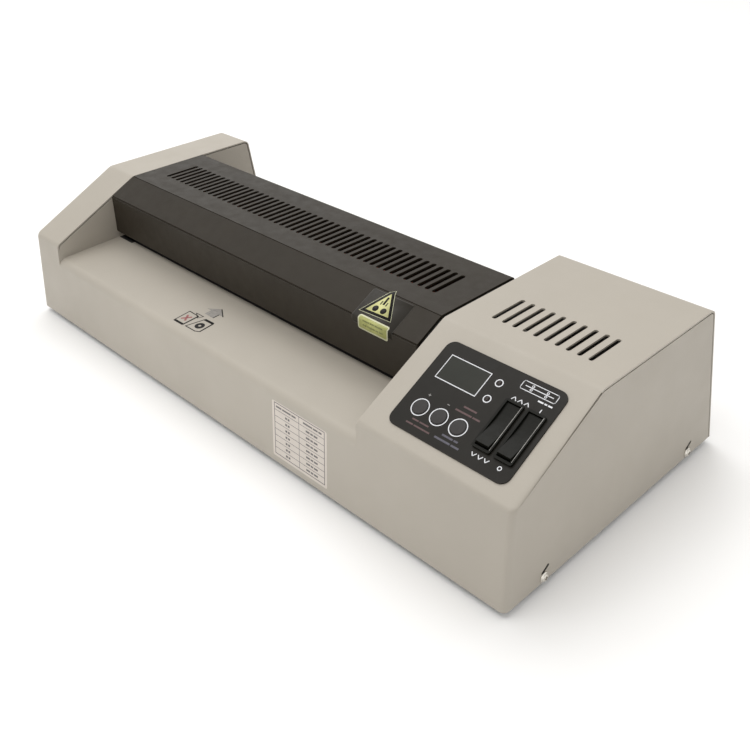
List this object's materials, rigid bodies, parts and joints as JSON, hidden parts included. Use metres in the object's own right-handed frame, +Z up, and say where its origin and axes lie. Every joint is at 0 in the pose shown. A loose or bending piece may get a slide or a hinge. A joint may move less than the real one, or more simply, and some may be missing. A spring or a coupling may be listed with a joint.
{
  "type": "pouch laminator",
  "caption": "Desktop pouch laminator: sheet-metal case with a low feed table between two towers, dark vented cover, geared heated rollers and a sloping control panel.",
  "frame": {"origin": "middle of the footprint, on the surface that the feet stand on", "axes": "+X along the rollers to the operator's right, where the controls are; +Y from the feed side to the exit side; +Z up"},
  "size_m": [0.5088, 0.2176, 0.1092],
  "materials": {
    "beige_paint": "fine textured powder coat, warm light grey",
    "dark_paint": "textured powder coat, dark brown",
    "zinc_steel": "zinc-plated sheet",
    "steel": "ground",
    "nickel": "nickel plated",
    "aluminium": "mill finish",
    "overlay_film": "satin black film",
    "smoked_lens": "smoked, gloss",
    "led_lens": "tinted, clear",
    "button_film": "satin",
    "black_plastic": "satin",
    "gear_plastic": "natural, moulded",
    "silicone": "smooth silicone",
    "rubber": "matt",
    "circuit_board": "solder mask",
    "motor_can": "plain",
    "core_steel": "varnished laminations"
  },
  "bodies": {
    "case": {"base_pan": "zinc_steel", "motor_bracket": "zinc_steel", "left_frame_plate": "zinc_steel", "right_frame_plate": "zinc_steel", "table_panel": "beige_paint", "exit_panel": "beige_paint", "left_tower_wrap": "beige_paint", "right_tower_wrap": "beige_paint", "left_end_panel": "beige_paint", "right_end_panel": "beige_paint", "left_cheek": "beige_paint", "right_cheek": "beige_paint", "centre_cover": "dark_paint", "case_screw_left_front": "nickel", "case_screw_left_rear": "nickel", "case_screw_right_front": "nickel", "case_screw_right_rear": "nickel", "foot_front_left": "rubber", "foot_front_right": "rubber", "foot_rear_left": "rubber", "foot_rear_right": "rubber", "control_overlay": "overlay_film", "display_window": "smoked_lens", "led_ready": "led_lens", "led_power": "led_lens", "control_board": "circuit_board", "direction_switch_body": "black_plastic", "power_switch_body": "black_plastic", "left_bearing_block": "black_plastic", "right_bearing_block": "black_plastic", "thermostat": "black_plastic", "mains_inlet": "black_plastic", "idler_stud": "steel", "tie_rod_upper": "steel", "tie_rod_lower": "steel", "heater_shell_upper": "aluminium", "heater_shell_lower": "aluminium", "gear_motor": "motor_can", "transformer": "core_steel"},
    "hot_roller_lower": {"hot_roller_lower_shaft": "steel", "hot_roller_lower_sleeve": "silicone", "hot_roller_lower_gear": "gear_plastic"},
    "hot_roller_upper": {"hot_roller_upper_shaft": "steel", "hot_roller_upper_sleeve": "silicone", "hot_roller_upper_gear": "gear_plastic"},
    "pull_roller_lower": {"pull_roller_lower_shaft": "steel", "pull_roller_lower_sleeve": "silicone", "pull_roller_lower_gear": "gear_plastic"},
    "pull_roller_upper": {"pull_roller_upper_shaft": "steel", "pull_roller_upper_sleeve": "silicone", "pull_roller_upper_gear": "gear_plastic"},
    "idler": {"idler_gear": "gear_plastic"},
    "drive_pinion": {"motor_pinion": "gear_plastic", "motor_shaft": "steel"},
    "button_up": {"button_up": "button_film"},
    "button_down": {"button_down": "button_film"},
    "button_mode": {"button_mode": "button_film"},
    "direction_rocker": {"direction_rocker": "black_plastic"},
    "power_rocker": {"power_rocker": "black_plastic"}
  },
  "joints": [
    {"name": "hot_roller_lower_spin", "type": "hinge", "parent": "case", "child": "hot_roller_lower", "pos_m": [0.1535, -0.0231, 0.0518], "axis": [1, 0, 0], "continuous": true},
    {"name": "hot_roller_upper_spin", "type": "hinge", "parent": "case", "child": "hot_roller_upper", "pos_m": [0.1535, -0.0231, 0.0738], "axis": [1, 0, 0], "continuous": true},
    {"name": "idler_spin", "type": "hinge", "parent": "case", "child": "idler", "pos_m": [0.1535, -0.0011, 0.0518], "axis": [1, 0, 0], "continuous": true},
    {"name": "pull_roller_lower_spin", "type": "hinge", "parent": "case", "child": "pull_roller_lower", "pos_m": [0.1535, 0.0209, 0.0518], "axis": [1, 0, 0], "continuous": true},
    {"name": "pull_roller_upper_spin", "type": "hinge", "parent": "case", "child": "pull_roller_upper", "pos_m": [0.1535, 0.0209, 0.0738], "axis": [1, 0, 0], "continuous": true},
    {"name": "drive_pinion_spin", "type": "hinge", "parent": "case", "child": "drive_pinion", "pos_m": [0.1535, -0.0011, 0.0328], "axis": [1, 0, 0], "continuous": true},
    {"name": "button_up_press", "type": "slide", "parent": "case", "child": "button_up", "axis": [0, -0.4496, 0.8933], "range_m": [-0.0004, 0], "stiffness_N_per_m": 800},
    {"name": "button_down_press", "type": "slide", "parent": "case", "child": "button_down", "axis": [0, -0.4496, 0.8933], "range_m": [-0.0004, 0], "stiffness_N_per_m": 800},
    {"name": "button_mode_press", "type": "slide", "parent": "case", "child": "button_mode", "axis": [0, -0.4496, 0.8933], "range_m": [-0.0004, 0], "stiffness_N_per_m": 800},
    {"name": "direction_rocker_tip", "type": "hinge", "parent": "case", "child": "direction_rocker", "pos_m": [0.2151, -0.07026, 0.0862], "axis": [1, 0, 0], "range_deg": [0, 12]},
    {"name": "power_rocker_tip", "type": "hinge", "parent": "case", "child": "power_rocker", "pos_m": [0.2301, -0.07026, 0.0862], "axis": [1, 0, 0], "range_deg": [0, 12]}
  ],
  "couplings": [
    {"joint": "hot_roller_upper_spin", "follows": "hot_roller_lower_spin", "ratio": -1},
    {"joint": "idler_spin", "follows": "hot_roller_lower_spin", "ratio": -1},
    {"joint": "pull_roller_lower_spin", "follows": "hot_roller_lower_spin", "ratio": 1},
    {"joint": "pull_roller_upper_spin", "follows": "hot_roller_lower_spin", "ratio": -1},
    {"joint": "drive_pinion_spin", "follows": "hot_roller_lower_spin", "ratio": 1.375}
  ]
}
